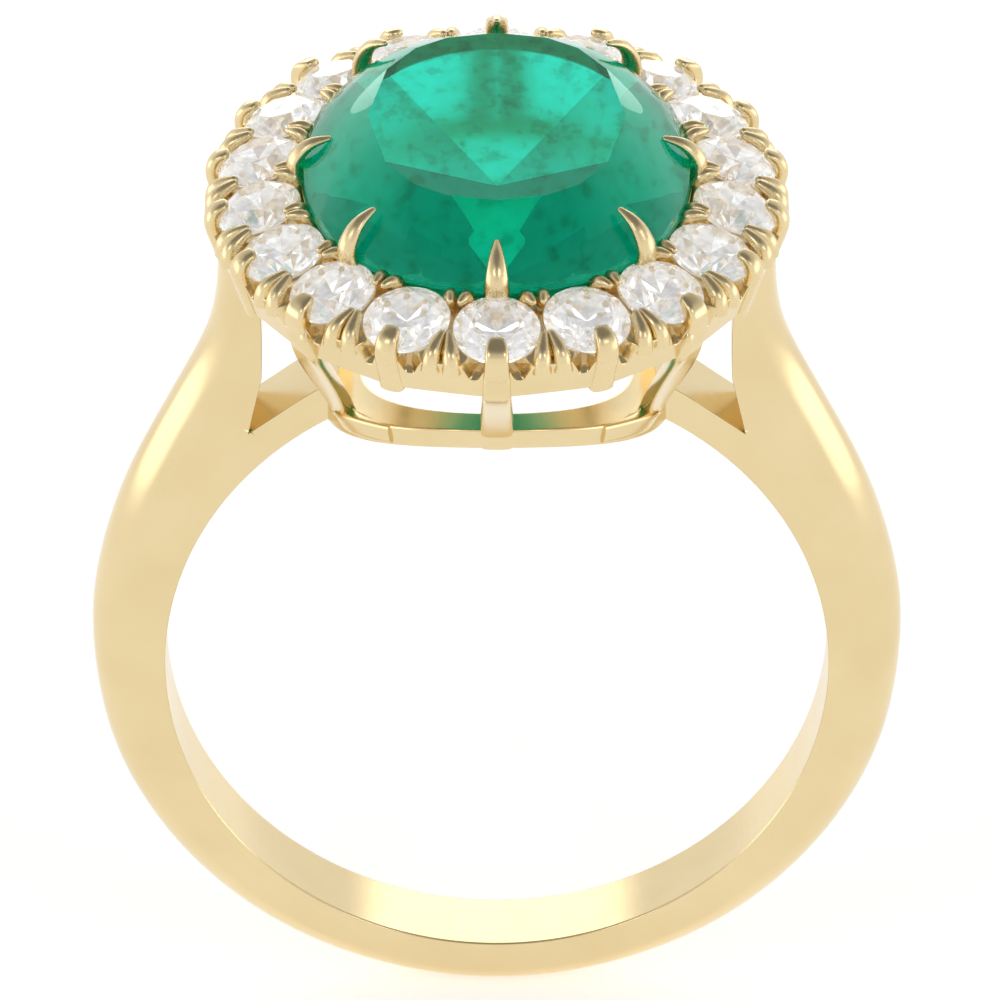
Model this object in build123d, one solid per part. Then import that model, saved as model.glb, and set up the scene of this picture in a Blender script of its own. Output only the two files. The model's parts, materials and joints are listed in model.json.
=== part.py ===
from build123d import *
import math
import os

# Cocktail ring: an oval-cushion emerald in eight pointed claws, a halo of eighteen round
# brilliants, an open gallery, and a D-section band that rises into open cathedral shoulders.
# Millimetres. The origin is the centre of the finger bore, +Y runs along the finger,
# +X points to the right and +Z points up through the centre stone.

os.makedirs("parts", exist_ok=True)

# Band
bore_radius = 8.45
band_half_width = 1.07
crown_radius = 10.31
crown_centre_z = 0.41
dome_rise_bottom = 0.64
dome_rise_side = 0.74
dome_rise_top = 0.48
section_overhang = 0.05
section_depth = 4.5
bore_edge_rounding = 0.12

# Cathedral shoulder, as (x, z) places on the right-hand side
shoulder_line = [(9.98, 3.08), (9.24, 5.44), (8.39, 7.21), (7.51, 8.96), (7.12, 10.3)]
shoulder_end = (6.98, 13.4)
arm_top_z = 12.7
arm_inner_x = 5.93
window_outer_corner = (6.3, 6.88)
window_knee = (5.92, 8.43)
window_inner_corner = (4.75, 8.03)
lower_arm_end_x = 4.1
lower_arm_end_z = 8.37

# Base rail
rail_thickness = 0.54
rail_outer = (4.4, 4.4)
rail_inner = (3.45, 3.55)

# Halo
stone_count = 18
halo_half_x = 6.06
halo_half_y = 7.13
halo_girdle_z = 13.52
halo_tilt = 18.0
diamond_radius = 1.085
diamond_girdle = 0.06
diamond_crown = 0.33
diamond_pavilion = 0.95
diamond_table_radius = 0.62

# Halo plate, measured on the sloping seat plane: reach outward, height off the girdles
plate_inner_reach = -1.12
plate_outer_reach = 1.27
plate_inner_top = -0.1
plate_outer_top = 0.0
plate_bottom = -1.05
seat_hole_radius = 0.55
# Open slots in the plate's wall on both sides of each claw
slot_turn = 21.0
slot_width = 0.3
slot_depth = 0.5
fit_gap = 0.01

# Claws and posts of the halo, measured on the same plane
claw_radius = 0.25
claw_reach = 1.2
claw_bend_height = 0.12
claw_tip_reach = 0.82
claw_tip_height = 0.36
post_half_width = 0.36
post_half_depth = 0.3
post_edge_rounding = 0.12
post_foot_length = 0.5
# Posts by the stone they hold: name, and azimuth in degrees of the foot on the rail
posts = {
    0: ("front", -90),
    2: ("front_left", -157),
    7: ("back_left", 157),
    9: ("back", 90),
    11: ("back_right", 23),
    16: ("front_right", -23),
}

# Bead claws in the notches between stones: (reach, sideways, height) of foot and tip, radius
outer_bead = ((1.08, 0.28, -0.1), (0.6, 0.16, 0.2), 0.18)
inner_bead = ((-0.96, 0.2, -0.3), (-0.66, 0.14, 0.14), 0.16)

# Emerald
emerald_half_x = 4.85
emerald_half_y = 5.9
emerald_power = 2.25
emerald_girdle_z = 13.98
emerald_girdle = 0.2
emerald_crown = 1.46
emerald_pavilion = 3.7
emerald_table_share = 0.62
emerald_mid_share = 0.83
emerald_mid_height = 0.66

# Collar and claws of the emerald
collar_wall = 0.55
collar_top_z = 13.6
collar_bottom_z = 12.7
# Claws of the emerald by name: turn from +X in degrees, and height of the tip over the girdle
emerald_claws = {
    "right": (0, 0.9),
    "back_right": (50, 1.25),
    "back": (90, 1.3),
    "back_left": (130, 1.25),
    "left": (180, 0.9),
    "front_left": (225, 1.12),
    "front": (270, 0.98),
    "front_right": (315, 1.12),
}
# Places along such a claw: (distance outside the girdle line, height over it, radius);
# heights over the girdle are shares of the tip's height
emerald_claw_line = [
    (-0.42, -1.05, 0.30),
    (-0.16, -0.55, 0.31),
    (0.16, 0.0, 0.29),
    (0.14, 0.4, 0.26),
    (-0.16, 0.78, 0.18),
    (-0.66, 1.0, 0.07),
]


def unit(x, y):
    size = math.hypot(x, y)
    return x / size, y / size


def write(shape, name):
    """Write one node, as one solid or as a group of separate solids."""
    solids = shape.solids()
    body = solids[0] if len(solids) == 1 else Compound(children=list(solids))
    body.label = name
    export_step(body, f"parts/{name}.step")


# ---------------------------------------------------------------- places round the halo


def halo_point(angle):
    return halo_half_x * math.cos(angle), halo_half_y * math.sin(angle)


def equal_spacing(count):
    """Angles of places at equal distances round the halo, the first at the front centre."""
    fine_steps = 3600
    start = -math.pi / 2
    angles = [start - 2 * math.pi * i / fine_steps for i in range(fine_steps + 1)]
    travelled = [0.0]
    for before, after in zip(angles, angles[1:]):
        x0, y0 = halo_point(before)
        x1, y1 = halo_point(after)
        travelled.append(travelled[-1] + math.hypot(x1 - x0, y1 - y0))
    places = []
    index = 0
    for k in range(count):
        target = travelled[-1] * k / count
        while travelled[index] < target:
            index += 1
        places.append(angles[index])
    return places


def halo_plane(angle):
    """Seat plane of a halo stone: x outward and down the slope, z out of the stone's table."""
    x, y = halo_point(angle)
    out_x, out_y = unit(math.cos(angle) / halo_half_x, math.sin(angle) / halo_half_y)
    tilt = math.radians(halo_tilt)
    slope = (out_x * math.cos(tilt), out_y * math.cos(tilt), -math.sin(tilt))
    normal = (out_x * math.sin(tilt), out_y * math.sin(tilt), math.cos(tilt))
    return Plane(origin=(x, y, halo_girdle_z), x_dir=slope, z_dir=normal)


stone_angles = equal_spacing(stone_count)
notch_angles = equal_spacing(2 * stone_count)[1::2]


# ---------------------------------------------------------------- stones


def grind(gem, azimuth, reach, level, lean):
    """Grind one flat facet: it touches the girdle line `reach` out at `level`, `lean` off level."""
    across = (math.cos(azimuth), math.sin(azimuth))
    up = math.cos(lean)
    out = math.sin(abs(lean))
    if lean < 0:
        up = -up
    facet = Plane(
        origin=(reach * across[0], reach * across[1], level),
        z_dir=(out * across[0], out * across[1], up),
    )
    return split(gem, bisect_by=facet, keep=Keep.BOTTOM)


def brilliant():
    """One round brilliant with its girdle on the XY plane."""
    half_girdle = diamond_girdle / 2
    height = diamond_girdle + diamond_crown + diamond_pavilion
    middle = (diamond_crown - diamond_pavilion) / 2
    gem = Pos(0, 0, middle) * Cylinder(diamond_radius, height)
    gem = gem.solids()[0]
    bezel_lean = math.atan(diamond_crown / (diamond_radius - diamond_table_radius))
    main_lean = math.atan(diamond_pavilion / diamond_radius)
    for i in range(8):
        azimuth = math.radians(45 * i)
        gem = grind(gem, azimuth, diamond_radius, half_girdle, bezel_lean)
        gem = grind(gem, azimuth, diamond_radius, -half_girdle, -main_lean)
    girdle_lean = bezel_lean + math.radians(5)
    lower_lean = main_lean + math.radians(1.2)
    for i in range(16):
        azimuth = math.radians(22.5 * i + 11.25)
        gem = grind(gem, azimuth, diamond_radius, half_girdle, girdle_lean)
        gem = grind(gem, azimuth, diamond_radius, -half_girdle, -lower_lean)
    return gem


def brilliant_envelope(gap):
    """Round solid that clears a brilliant by `gap`, open upwards and with a drilled hole below."""
    radius = diamond_radius + gap
    half_girdle = diamond_girdle / 2 + gap
    table = diamond_table_radius + gap
    top = diamond_girdle / 2 + diamond_crown + gap
    bottom = -diamond_girdle / 2 - diamond_pavilion - gap
    outline = Polyline(
        (0, bottom), (radius, -half_girdle), (radius, half_girdle), (table, top), (0, top), close=True
    )
    return revolve(Plane.XZ * make_face(outline), Axis.Z)


def emerald_reach(azimuth):
    """Distance of the girdle's tangent line that faces `azimuth`."""
    power = emerald_power / (emerald_power - 1)
    x = (emerald_half_x * abs(math.cos(azimuth))) ** power
    y = (emerald_half_y * abs(math.sin(azimuth))) ** power
    return (x + y) ** (1 / power)


def cushion_point(half_x, half_y, angle):
    cosine = math.cos(angle)
    sine = math.sin(angle)
    power = 2 / emerald_power
    x = math.copysign(abs(cosine) ** power, cosine) * half_x
    y = math.copysign(abs(sine) ** power, sine) * half_y
    return x, y


def cushion(half_x, half_y):
    """Cushion-oval face on the XY plane."""
    count = 32
    points = [cushion_point(half_x, half_y, 2 * math.pi * i / count) for i in range(count)]
    return make_face(Spline(*points, periodic=True))


def make_emerald():
    """Cushion-oval stone: two tiers of crown facets, a table, and one tier below the girdle."""
    top = emerald_girdle_z + emerald_girdle / 2
    bottom = emerald_girdle_z - emerald_girdle / 2
    depth = emerald_crown + emerald_girdle + emerald_pavilion
    blank = extrude(cushion(emerald_half_x, emerald_half_y), depth)
    gem = (Pos(0, 0, bottom - emerald_pavilion) * blank).solids()[0]
    mid_height = emerald_crown * emerald_mid_height
    facets = 16
    for i in range(facets):
        azimuth = 2 * math.pi * (i + 0.5) / facets
        reach = emerald_reach(azimuth)
        mid_reach = reach * emerald_mid_share
        steep = math.atan(mid_height / (reach - mid_reach))
        gem = grind(gem, azimuth, reach, top, steep)
        flat = math.atan((emerald_crown - mid_height) / (mid_reach - reach * emerald_table_share))
        gem = grind(gem, azimuth, mid_reach, top + mid_height, flat)
        gem = grind(gem, azimuth, reach, bottom, -math.atan(emerald_pavilion / reach))
    return gem


# ---------------------------------------------------------------- band


def crown_stations():
    """Places on the band's crown line from the bottom to the right shoulder's top.

    Each is (point, direction, dome rise).
    """
    arc = CenterArc((0, crown_centre_z), crown_radius, -90, 90)
    shoulder = Spline(arc @ 1, *shoulder_line, shoulder_end, tangents=[(0, 1), (0, 1)])
    stations = []
    arc_steps = 6
    for i in range(arc_steps):
        share = i / arc_steps
        rise = dome_rise_bottom + (dome_rise_side - dome_rise_bottom) * share
        stations.append((arc @ share, arc % share, rise))
    shoulder_steps = 10
    for i in range(shoulder_steps + 1):
        share = i / shoulder_steps
        rise = dome_rise_side + (dome_rise_top - dome_rise_side) * share
        stations.append((shoulder @ share, shoulder % share, rise))
    return stations


def band_section(point_x, point_z, direction_x, direction_z, rise):
    """Domed section of the band, its crown at the given place."""
    radius = (band_half_width**2 + rise**2) / (2 * rise)
    half = band_half_width + section_overhang
    drop = radius - math.sqrt(radius**2 - half**2)
    dome = ThreePointArc((-half, drop), (0, 0), (half, drop))
    rest = Polyline((half, drop), (half, section_depth), (-half, section_depth), (-half, drop))
    place = Plane(origin=(point_x, 0, point_z), x_dir=(0, 1, 0), z_dir=(direction_x, 0, direction_z))
    return place * make_face([dome, rest])


def make_shank():
    """Band with both shoulders: the domed loft cut to the side outline, let in under the plate."""
    stations = crown_stations()
    left = [band_section(-p.X, p.Y, d.X, -d.Y, rise) for p, d, rise in reversed(stations[1:])]
    right = [band_section(p.X, p.Y, d.X, d.Y, rise) for p, d, rise in stations]
    domed = loft(left + right)

    bore_end_z = math.sqrt(bore_radius**2 - lower_arm_end_x**2)
    outside = 1.2 * crown_radius
    right_side = [
        (outside, -outside),
        (outside, arm_top_z),
        (arm_inner_x, arm_top_z),
        window_knee,
        window_outer_corner,
        window_inner_corner,
        (lower_arm_end_x, lower_arm_end_z),
        (lower_arm_end_x, bore_end_z),
    ]
    left_side = [(-x, z) for x, z in reversed(right_side)]
    bore_end = (lower_arm_end_x, bore_end_z)
    bore = ThreePointArc(bore_end, (0, -bore_radius), left_side[0])
    outline = make_face([Polyline(*left_side, *right_side), bore])
    flat = extrude(Plane.XZ * outline, band_half_width, both=True)
    band = flat & domed
    bore_edges = [
        edge
        for edge in band.edges().filter_by(GeomType.CIRCLE)
        if abs(edge.radius - bore_radius) < fit_gap
    ]
    band = fillet(bore_edges, bore_edge_rounding)
    rail_room = extrude(Ellipse(rail_outer[0] + fit_gap, rail_outer[1] + fit_gap), 2 * bore_radius)
    above = abs(plate_bottom)
    inward = 2 * plate_inner_reach
    head_room = halo_ring(
        [
            (inward, above),
            (plate_outer_reach, above),
            (plate_outer_reach, plate_bottom),
            (inward, plate_bottom),
        ]
    )
    return largest(band - rail_room - head_room)


# ---------------------------------------------------------------- head


def make_rail():
    """Saddle-shaped ring that lies on the finger cylinder."""
    ring = extrude(Ellipse(*rail_outer) - Ellipse(*rail_inner), 2 * bore_radius)
    length = 4 * rail_outer[1]
    outside = Rot(90, 0, 0) * Cylinder(bore_radius + rail_thickness, length)
    finger = Rot(90, 0, 0) * Cylinder(bore_radius, length)
    return ring & (outside - finger)


def halo_ring(corners):
    """Ring round the halo; its section has its corners at (reach, height) places of the seat plane."""
    seat = halo_plane(stone_angles[0])
    upright = Plane(origin=seat.origin, x_dir=seat.x_dir, z_dir=seat.x_dir.cross(seat.z_dir))
    section = upright * make_face(Polyline(*corners, close=True))
    line = Pos(0, 0, halo_girdle_z) * Edge.make_ellipse(halo_half_x, halo_half_y)
    return sweep(section, path=line, is_frenet=True)


def wall_slot(turn):
    """Round-ended cutter that opens the plate's outer wall, `turn` degrees off the slope."""
    azimuth = math.radians(turn)
    outward = (math.cos(azimuth), math.sin(azimuth), 0)
    height = 2 * slot_depth
    place = Plane(origin=(0, 0, height / 2 - slot_depth), x_dir=(0, 0, 1), z_dir=outward)
    return extrude(place * SlotOverall(height, slot_width), 2 * plate_outer_reach)


def make_plate():
    """Sloping plate with a seat, a drilled hole and two wall slots for each stone."""
    corners = [
        (plate_inner_reach, plate_inner_top),
        (plate_outer_reach, plate_outer_top),
        (plate_outer_reach, plate_bottom),
        (plate_inner_reach, plate_bottom),
    ]
    plate = halo_ring(corners)
    hole = Cylinder(seat_hole_radius, 4 * abs(plate_bottom))
    cutter = brilliant_envelope(fit_gap) + hole + wall_slot(slot_turn) + wall_slot(-slot_turn)
    for angle in stone_angles:
        plate = plate - halo_plane(angle) * cutter
    return largest(plate)


def make_collar(emerald):
    """Seat ring between the plate and the emerald, level at its top and bottom."""
    outer = plate_inner_reach - fit_gap
    inner = outer - collar_wall
    above = 1.0
    below = 2 * plate_bottom
    ring = halo_ring([(outer, above), (outer, below), (inner, below), (inner, above)])
    layer = Cylinder(halo_half_y, collar_top_z - collar_bottom_z)
    layer = Pos(0, 0, (collar_top_z + collar_bottom_z) / 2) * layer
    return largest((ring & layer) - emerald)


def rod(start, end, radius):
    """Round rod between two points, with round ends."""
    start = Vector(*start)
    end = Vector(*end)
    along = end - start
    bar = Plane(origin=start, z_dir=along) * extrude(Circle(radius), along.length)
    return bar + Pos(*start) * Sphere(radius) + Pos(*end) * Sphere(radius)


def claw_blank(foot_height):
    """Bent wire of a halo claw on the seat plane."""
    foot = (claw_reach, 0, foot_height)
    bend = (claw_reach, 0, claw_bend_height)
    tip = (claw_tip_reach, 0, claw_tip_height)
    return rod(foot, bend, claw_radius) + rod(bend, tip, claw_radius)


def post_bar(angle, foot_azimuth):
    """Flat-sided bar that leans out from the rail to the outside of the plate."""
    top = halo_plane(angle).from_local_coords(Vector(claw_reach, 0, 0))
    foot_x = rail_outer[0] * math.cos(math.radians(foot_azimuth))
    foot_y = rail_outer[1] * math.sin(math.radians(foot_azimuth))
    foot_z = math.sqrt((bore_radius + rail_thickness / 2) ** 2 - foot_x**2)
    foot = Vector(foot_x, foot_y, foot_z)
    along = (top - foot).normalized()
    start = foot - along * post_foot_length
    length = (top - start).length
    level = Vector(-along.Y, along.X, 0).normalized()
    place = Plane(origin=start, x_dir=level, z_dir=along)
    bar = extrude(place * Rectangle(2 * post_half_width, 2 * post_half_depth), length)
    corners = [edge for edge in bar.edges() if abs(edge.length - length) < fit_gap]
    return fillet(corners, post_edge_rounding)


def bead_claws(bead, notch):
    """Pair of short claws in one notch between two stones."""
    foot, tip, radius = bead
    pair = []
    for hand in (-1, 1):
        foot_place = (foot[0], hand * foot[1], foot[2])
        tip_place = (tip[0], hand * tip[1], tip[2])
        pair.append(halo_plane(notch) * rod(foot_place, tip_place, radius))
    return pair


def emerald_claw(angle, tip_height, emerald):
    """Pointed claw: round sections along a bent line over the emerald's edge."""
    x, y = cushion_point(emerald_half_x, emerald_half_y, angle)
    power = emerald_power - 1
    slope_x = math.copysign(abs(x / emerald_half_x) ** power, x) / emerald_half_x
    slope_y = math.copysign(abs(y / emerald_half_y) ** power, y) / emerald_half_y
    out_x, out_y = unit(slope_x, slope_y)
    places = []
    for out, height, radius in emerald_claw_line:
        rise = height * tip_height if height > 0 else height
        places.append(Vector(x + out_x * out, y + out_y * out, emerald_girdle_z + rise))
    path = Spline(*places)
    rings = []
    for i, place in enumerate(places):
        share = path.param_at_point(place)
        rings.append(Plane(origin=place, z_dir=path % share) * Circle(emerald_claw_line[i][2]))
    return loft(rings) - emerald


def largest(shape):
    return max(shape.solids(), key=lambda solid: solid.volume)


def near(first, second):
    """True when the boxes of two shapes meet."""
    a = first.bounding_box()
    b = second.bounding_box()
    return (
        a.min.X <= b.max.X
        and b.min.X <= a.max.X
        and a.min.Y <= b.max.Y
        and b.min.Y <= a.max.Y
        and a.min.Z <= b.max.Z
        and b.min.Z <= a.max.Z
    )


def fitted(shape, neighbours):
    """The shape let in round its neighbours, in one piece."""
    for neighbour in neighbours:
        if near(shape, neighbour):
            shape = largest(shape - neighbour)
    return shape


def write_stones(emerald):
    write(emerald, "emerald")
    gem = brilliant()
    for k, angle in enumerate(stone_angles):
        write(halo_plane(angle) * gem, f"halo_diamond_{k + 1:02d}")


def write_emerald_claws(emerald, neighbours):
    """The eight claws of the emerald; returns them."""
    claws = []
    for name, (turn, tip_height) in emerald_claws.items():
        claw = fitted(emerald_claw(math.radians(turn), tip_height, emerald), neighbours)
        claws.append(claw)
        write(claw, f"emerald_claw_{name}")
    return claws


def write_halo_claws(envelopes, neighbours):
    """One outer claw for each halo stone; six of them are the tops of gallery posts."""
    for k, angle in enumerate(stone_angles):
        if k in posts:
            place, foot_azimuth = posts[k]
            claw = post_bar(angle, foot_azimuth) + halo_plane(angle) * claw_blank(0)
            name = f"gallery_post_{place}"
        else:
            claw = halo_plane(angle) * claw_blank(plate_bottom + claw_radius)
            name = f"halo_claw_{k + 1:02d}"
        write(fitted(claw, [*neighbours, envelopes[k]]), name)


def write_bead_claws(bead, name, envelopes, neighbours):
    """All the bead claws on one side of the halo stones, as one node of separate solids."""
    beads = []
    for k, notch in enumerate(notch_angles):
        stones = [envelopes[k], envelopes[(k + 1) % stone_count]]
        left, right = bead_claws(bead, notch)
        beads.append(fitted(left, [*stones, *neighbours]))
        beads.append(fitted(right - left, [*stones, *neighbours]))
    write(Compound(children=beads), name)


def make_ring():
    emerald = make_emerald()
    rail = make_rail()
    plate = make_plate()
    collar = make_collar(emerald)
    shank = make_shank()
    envelope = brilliant_envelope(fit_gap)
    envelopes = [halo_plane(angle) * envelope for angle in stone_angles]
    finger = Rot(90, 0, 0) * Cylinder(bore_radius, 4 * rail_outer[1])

    write(shank, "shank")
    write(rail, "base_rail")
    write(plate, "halo_plate")
    write(collar, "emerald_collar")
    write_stones(emerald)
    claws = write_emerald_claws(emerald, [collar, plate, *envelopes])
    write_halo_claws(envelopes, [finger, rail, plate, shank])
    neighbours = [plate, collar, emerald, shank, *claws]
    write_bead_claws(outer_bead, "outer_bead_claws", envelopes, neighbours)
    write_bead_claws(inner_bead, "inner_bead_claws", envelopes, neighbours)


make_ring()
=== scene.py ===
import json
import math

import bmesh
import bpy
import numpy as np
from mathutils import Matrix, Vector


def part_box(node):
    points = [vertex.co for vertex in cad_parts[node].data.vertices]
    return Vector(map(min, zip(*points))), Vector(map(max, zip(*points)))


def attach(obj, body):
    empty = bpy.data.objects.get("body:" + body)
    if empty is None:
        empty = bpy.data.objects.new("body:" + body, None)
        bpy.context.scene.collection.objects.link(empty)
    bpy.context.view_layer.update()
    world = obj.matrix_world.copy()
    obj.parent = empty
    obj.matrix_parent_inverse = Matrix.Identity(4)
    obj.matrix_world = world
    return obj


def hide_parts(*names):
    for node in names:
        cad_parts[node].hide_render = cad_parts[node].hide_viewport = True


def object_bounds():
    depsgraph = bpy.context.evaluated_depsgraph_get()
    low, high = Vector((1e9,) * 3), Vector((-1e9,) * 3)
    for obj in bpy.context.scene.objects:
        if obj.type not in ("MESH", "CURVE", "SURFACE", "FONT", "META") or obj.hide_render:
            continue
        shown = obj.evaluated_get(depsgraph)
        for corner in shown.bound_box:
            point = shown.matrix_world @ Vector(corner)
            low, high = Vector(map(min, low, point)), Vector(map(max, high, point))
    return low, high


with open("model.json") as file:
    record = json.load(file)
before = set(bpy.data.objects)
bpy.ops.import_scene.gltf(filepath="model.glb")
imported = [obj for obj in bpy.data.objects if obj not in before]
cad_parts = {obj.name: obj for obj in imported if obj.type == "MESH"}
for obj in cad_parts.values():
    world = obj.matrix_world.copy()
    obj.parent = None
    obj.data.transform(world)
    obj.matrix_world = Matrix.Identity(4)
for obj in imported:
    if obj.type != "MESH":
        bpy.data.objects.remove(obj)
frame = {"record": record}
cad_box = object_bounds()

# Sizes are in millimetres here and become metres where a mesh is made.
MM = 0.001


def node_box(node):
    low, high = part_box(node)
    return np.array(low) / MM, np.array(high) / MM


# ---------------------------------------------------------------- sizes read from the frame

BORE = frame["record"]["mounts"][0]["dims"]["r_mm"]
SHANK_LOW, SHANK_HIGH = node_box("shank")
HALF_WIDTH = SHANK_HIGH[1]
CROWN = SHANK_HIGH[0]
CROWN_Z = SHANK_LOW[2] + CROWN

RAIL_LOW, RAIL_HIGH = node_box("base_rail")
RAIL_OUTER_X = RAIL_HIGH[0]
RAIL_OUTER_Y = RAIL_HIGH[1]
RAIL_RADIUS = RAIL_HIGH[2]
RAIL_WALL_X = 0.95
RAIL_WALL_Y = 0.85

STONES = 18
TILT = math.radians(18)
DIAMOND_LOW, DIAMOND_HIGH = node_box("halo_diamond_01")
DIAMOND = (DIAMOND_HIGH[0] - DIAMOND_LOW[0]) / 2
DIAMOND_CROWN = 0.304 * DIAMOND
DIAMOND_DEPTH = 0.876 * DIAMOND
DIAMOND_GIRDLE = 0.055 * DIAMOND
DIAMOND_TABLE = 0.57 * DIAMOND
HALO_Y = -DIAMOND_LOW[1] - DIAMOND * math.cos(TILT) - DIAMOND_GIRDLE / 2 * math.sin(TILT)
HALO_Z = DIAMOND_LOW[2] + (DIAMOND_DEPTH + DIAMOND_GIRDLE / 2) * math.cos(TILT)
PLATE_LOW, PLATE_HIGH = node_box("halo_plate")
HALO_X = HALO_Y - (PLATE_HIGH[1] - PLATE_HIGH[0])

EMERALD_LOW, EMERALD_HIGH = node_box("emerald")
EMERALD_X = EMERALD_HIGH[0]
EMERALD_Y = EMERALD_HIGH[1]
EMERALD_POWER = 2.25
GIRDLE_Z = 13.98
GIRDLE = 0.2
EMERALD_DEPTH = GIRDLE_Z - GIRDLE / 2 - EMERALD_LOW[2]


# ---------------------------------------------------------------- meshes


def add_piece(name, vertices, faces, material, nodes, slot, smooth_angle=None, merge=0.0):
    """Mesh object in metres from millimetre vertices; it rides on the root and replaces CAD nodes."""
    mesh = bpy.data.meshes.new(name)
    points = (np.asarray(vertices, float) * MM).tolist()
    mesh.from_pydata(points, [], [list(face) for face in faces])
    shape = bmesh.new()
    shape.from_mesh(mesh)
    if merge:
        bmesh.ops.remove_doubles(shape, verts=shape.verts, dist=merge * MM)
    bmesh.ops.recalc_face_normals(shape, faces=shape.faces)
    shape.to_mesh(mesh)
    shape.free()
    piece = bpy.data.objects.new(name, mesh)
    bpy.context.scene.collection.objects.link(piece)
    if smooth_angle:
        mesh.shade_smooth()
        mesh.set_sharp_from_angle(angle=math.radians(smooth_angle))
    mesh.materials.append(material)
    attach(piece, "root")
    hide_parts(*nodes)
    return piece


def round_edges(piece, width, angle, segments=3):
    bevel = piece.modifiers.new("edge_rounding", "BEVEL")
    bevel.width = width * MM
    bevel.segments = segments
    bevel.limit_method = "ANGLE"
    bevel.angle_limit = math.radians(angle)
    shading = piece.modifiers.new("even_shading", "WEIGHTED_NORMAL")
    shading.keep_sharp = True


def skin(rings, around=True, capped=True):
    """Vertices and quads over a list of equal rings; rings close round, and the ends are capped."""
    rings = [np.asarray(ring, float) for ring in rings]
    count = len(rings[0])
    vertices = np.concatenate(rings)
    faces = []
    steps = count if around else count - 1
    for level in range(len(rings) - 1):
        low = level * count
        high = low + count
        for i in range(steps):
            j = (i + 1) % count
            faces.append((low + i, low + j, high + j, high + i))
    if capped:
        faces.append(tuple(range(count)))
        last = (len(rings) - 1) * count
        faces.append(tuple(last + i for i in range(count)))
    return vertices, faces


def joined(parts):
    """One vertex and face list from several."""
    vertices, faces, start = [], [], 0
    for part_vertices, part_faces in parts:
        vertices.append(np.asarray(part_vertices, float))
        faces += [tuple(start + i for i in face) for face in part_faces]
        start += len(part_vertices)
    return np.concatenate(vertices), faces


def curve_through(points, count):
    """`count` places on a natural cubic spline through the points, even in the points' order."""
    points = np.asarray(points, float)
    n = len(points)
    rows = np.zeros((n, n))
    right = np.zeros((n, points.shape[1]))
    rows[0, 0] = rows[-1, -1] = 1.0
    for i in range(1, n - 1):
        rows[i, i - 1 : i + 2] = (1.0, 4.0, 1.0)
        right[i] = 6 * (points[i - 1] - 2 * points[i] + points[i + 1])
    bend = np.linalg.solve(rows, right)
    places = []
    for t in np.linspace(0, n - 1, count):
        i = min(int(t), n - 2)
        b = t - i
        a = 1 - b
        curve = (a**3 - a) * bend[i] + (b**3 - b) * bend[i + 1]
        places.append(a * points[i] + b * points[i + 1] + curve / 6)
    return np.array(places)


def unit(vector):
    vector = np.asarray(vector, float)
    return vector / np.linalg.norm(vector)


def tapered_rod(line, widths, depths, side, power=2.0, around=24, steps=28):
    """Closed rod along a smooth line, ending in a rounded tip.

    `side` is the width direction, one for the whole rod or one for each point of the line.
    """
    path = curve_through(line, steps)
    width = curve_through([[w] for w in widths], steps)[:, 0]
    depth = curve_through([[d] for d in depths], steps)[:, 0]
    turning = np.ndim(side) == 2
    sides = curve_through(side, steps) if turning else [side] * steps
    rings = []
    for i, place in enumerate(path):
        along = unit(path[min(i + 1, steps - 1)] - path[max(i - 1, 0)])
        out = unit(np.cross(sides[i], along))
        side = np.cross(along, out)
        ring = []
        for j in range(around):
            angle = 2 * math.pi * j / around
            c, s = math.cos(angle), math.sin(angle)
            a = math.copysign(abs(c) ** (2 / power), c) * width[i]
            b = math.copysign(abs(s) ** (2 / power), s) * depth[i]
            ring.append(place + a * side + b * out)
        rings.append(ring)
    tip_along = unit(path[-1] - path[-2])
    last = np.array(rings[-1])
    size = min(width[-1], depth[-1])
    for turn in (0.35, 0.65, 0.88):
        shrink = math.cos(turn * math.pi / 2)
        push = math.sin(turn * math.pi / 2) * size
        rings.append(path[-1] + (last - path[-1]) * shrink + tip_along * push)
    return skin(rings)


# ---------------------------------------------------------------- materials


def node_material(name):
    material = bpy.data.materials.new(name)
    material.use_nodes = True
    nodes = material.node_tree.nodes
    shader = nodes["Principled BSDF"]
    return material, nodes, material.node_tree.links, shader


def noise(nodes, links, scale, detail=3.0, stretch=(1, 1, 1)):
    """Noise over the object's own coordinates, `scale` in ripples per millimetre."""
    place = nodes.new("ShaderNodeTexCoord")
    mapping = nodes.new("ShaderNodeMapping")
    mapping.inputs["Scale"].default_value = stretch
    texture = nodes.new("ShaderNodeTexNoise")
    texture.inputs["Scale"].default_value = scale / MM
    texture.inputs["Detail"].default_value = detail
    links.new(place.outputs["Object"], mapping.inputs["Vector"])
    links.new(mapping.outputs["Vector"], texture.inputs["Vector"])
    return texture


def ramp(nodes, links, factor, stops):
    """Colour ramp over a factor: stops are (position, colour)."""
    node = nodes.new("ShaderNodeValToRGB")
    elements = node.color_ramp.elements
    while len(elements) < len(stops):
        elements.new(0.5)
    for element, (position, colour) in zip(elements, stops):
        element.position = position
        element.color = (*colour, 1)
    links.new(factor, node.inputs["Fac"])
    return node.outputs["Color"]


def levels(nodes, links, factor, low, high):
    node = nodes.new("ShaderNodeMapRange")
    node.inputs["To Min"].default_value = low
    node.inputs["To Max"].default_value = high
    links.new(factor, node.inputs["Value"])
    return node.outputs["Result"]


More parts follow.
